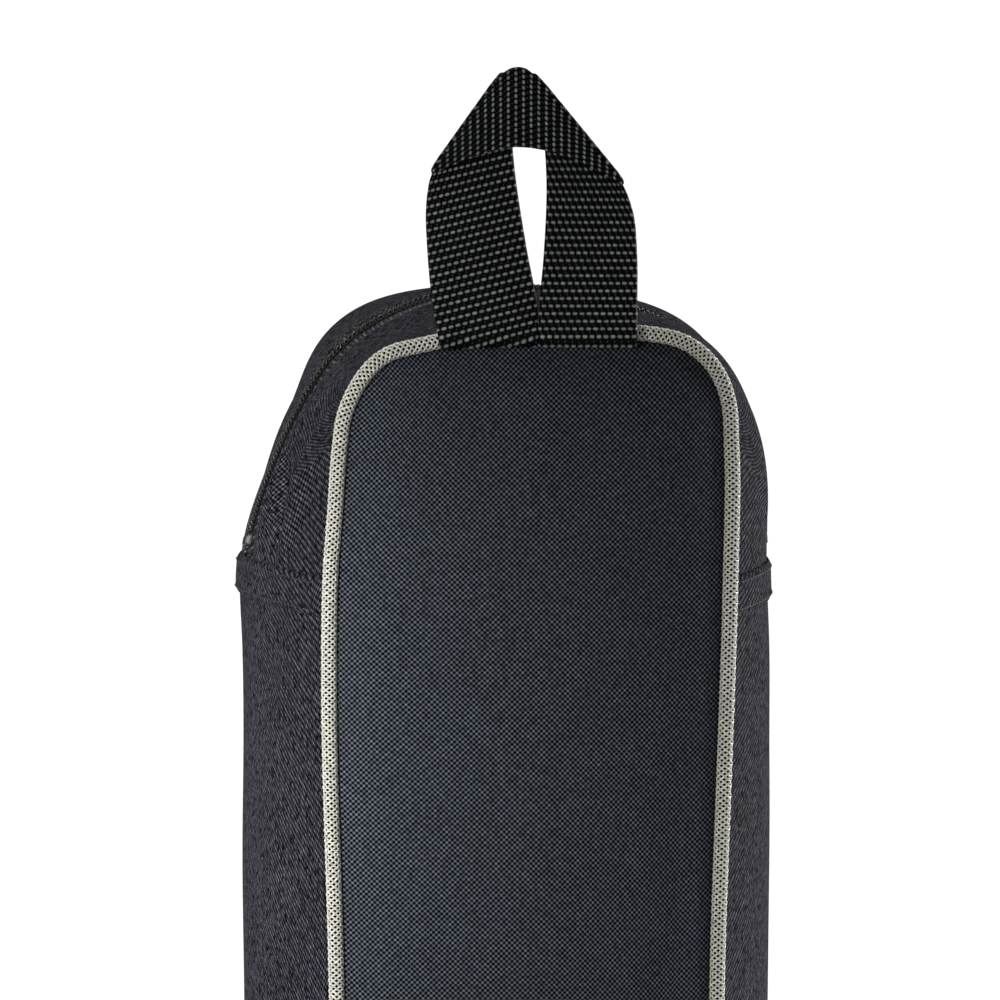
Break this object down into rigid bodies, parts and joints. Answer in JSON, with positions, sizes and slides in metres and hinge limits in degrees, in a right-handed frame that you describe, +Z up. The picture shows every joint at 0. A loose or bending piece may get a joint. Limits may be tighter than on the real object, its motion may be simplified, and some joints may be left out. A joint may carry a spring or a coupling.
{
  "type": "shoe bag",
  "caption": "Upright fabric shoe bag with piped end panels, an arched top zip that opens a mouth flap, a flat stiffened base and a webbing carry loop.",
  "frame": {"origin": "centre of the bag's flat base, on the surface it stands on", "axes": "+X across the bag to the right as the front end panel is looked at, +Y from the front end panel to the rear one, +Z up; the arched zip lies in the plane Y = -0.018 m"},
  "size_m": [0.1558, 0.2039, 0.409],
  "materials": {
    "panel_fabric": "coarse plain-weave nylon, matt",
    "lining_fabric": "thin smooth lining cloth",
    "piping_braid": "silver-grey braid with black flecks",
    "binding_tape": "woven binding tape",
    "band_tape": "grosgrain tape",
    "base_board_plastic": "matt black board",
    "zip_tape": "woven zip tape",
    "zip_coil": "moulded nylon coil",
    "zip_metal": "black painted zinc",
    "webbing": "black polypropylene webbing"
  },
  "bodies": {
    "bag": {"left_side_panel": "panel_fabric", "right_side_panel": "panel_fabric", "left_side_crease": "panel_fabric", "right_side_crease": "panel_fabric", "side_crease_lining": "lining_fabric", "left_end_band": "band_tape", "right_end_band": "band_tape", "end_band_creases": "band_tape", "base_panel": "panel_fabric", "base_board": "base_board_plastic", "body_lining": "lining_fabric", "rear_zip_gusset": "panel_fabric", "rear_gusset_lining": "lining_fabric", "rear_panel": "panel_fabric", "rear_lining": "lining_fabric", "rear_piping": "piping_braid", "front_panel_lower": "panel_fabric", "front_panel_crease": "panel_fabric", "front_lining_lower": "lining_fabric", "front_lining_crease": "lining_fabric", "front_piping_lower": "piping_braid", "front_piping_crease": "piping_braid", "front_seam_binding_lower": "binding_tape", "front_seam_binding_crease": "binding_tape", "rear_seam_binding": "binding_tape", "rear_zip_tape": "zip_tape", "rear_zip_coil": "zip_coil", "front_zip_tape_ends": "zip_tape", "zip_end_stops": "zip_metal"},
    "mouth_flap": {"front_panel_upper": "panel_fabric", "front_lining_upper": "lining_fabric", "front_piping_upper": "piping_braid", "front_zip_gusset": "panel_fabric", "front_gusset_lining": "lining_fabric", "front_seam_binding_upper": "binding_tape", "front_zip_tape": "zip_tape", "front_zip_coil": "zip_coil", "carry_loop_feet": "webbing", "carry_loop_bend": "webbing"},
    "loop": {"carry_loop": "webbing"},
    "slider": {"zip_slider": "zip_metal"},
    "puller": {"zip_puller": "zip_metal"}
  },
  "joints": [
    {"name": "mouth_open", "type": "hinge", "parent": "bag", "child": "mouth_flap", "pos_m": [0, -0.018, 0.276], "axis": [1, 0, 0], "range_deg": [0, 35], "deforming": ["left_side_crease", "right_side_crease", "side_crease_lining", "front_panel_crease", "front_lining_crease", "front_piping_crease", "front_seam_binding_crease", "end_band_creases", "front_zip_tape_ends"]},
    {"name": "handle_fold", "type": "hinge", "parent": "mouth_flap", "child": "loop", "pos_m": [0, -0.0997, 0.3425], "axis": [1, 0, 0], "range_deg": [-75, 130], "stiffness_Nm_per_rad": 0.02, "deforming": ["carry_loop_bend"]},
    {"name": "slider_travel", "type": "hinge", "parent": "bag", "child": "slider", "pos_m": [0, -0.018, 0.276], "axis": [0, -1, 0], "range_deg": [-73.5, 94.5]},
    {"name": "puller_swing", "type": "hinge", "parent": "slider", "child": "puller", "pos_m": [0.01462, -0.018, 0.35491], "axis": [0, -1, 0], "range_deg": [0, 180]}
  ]
}
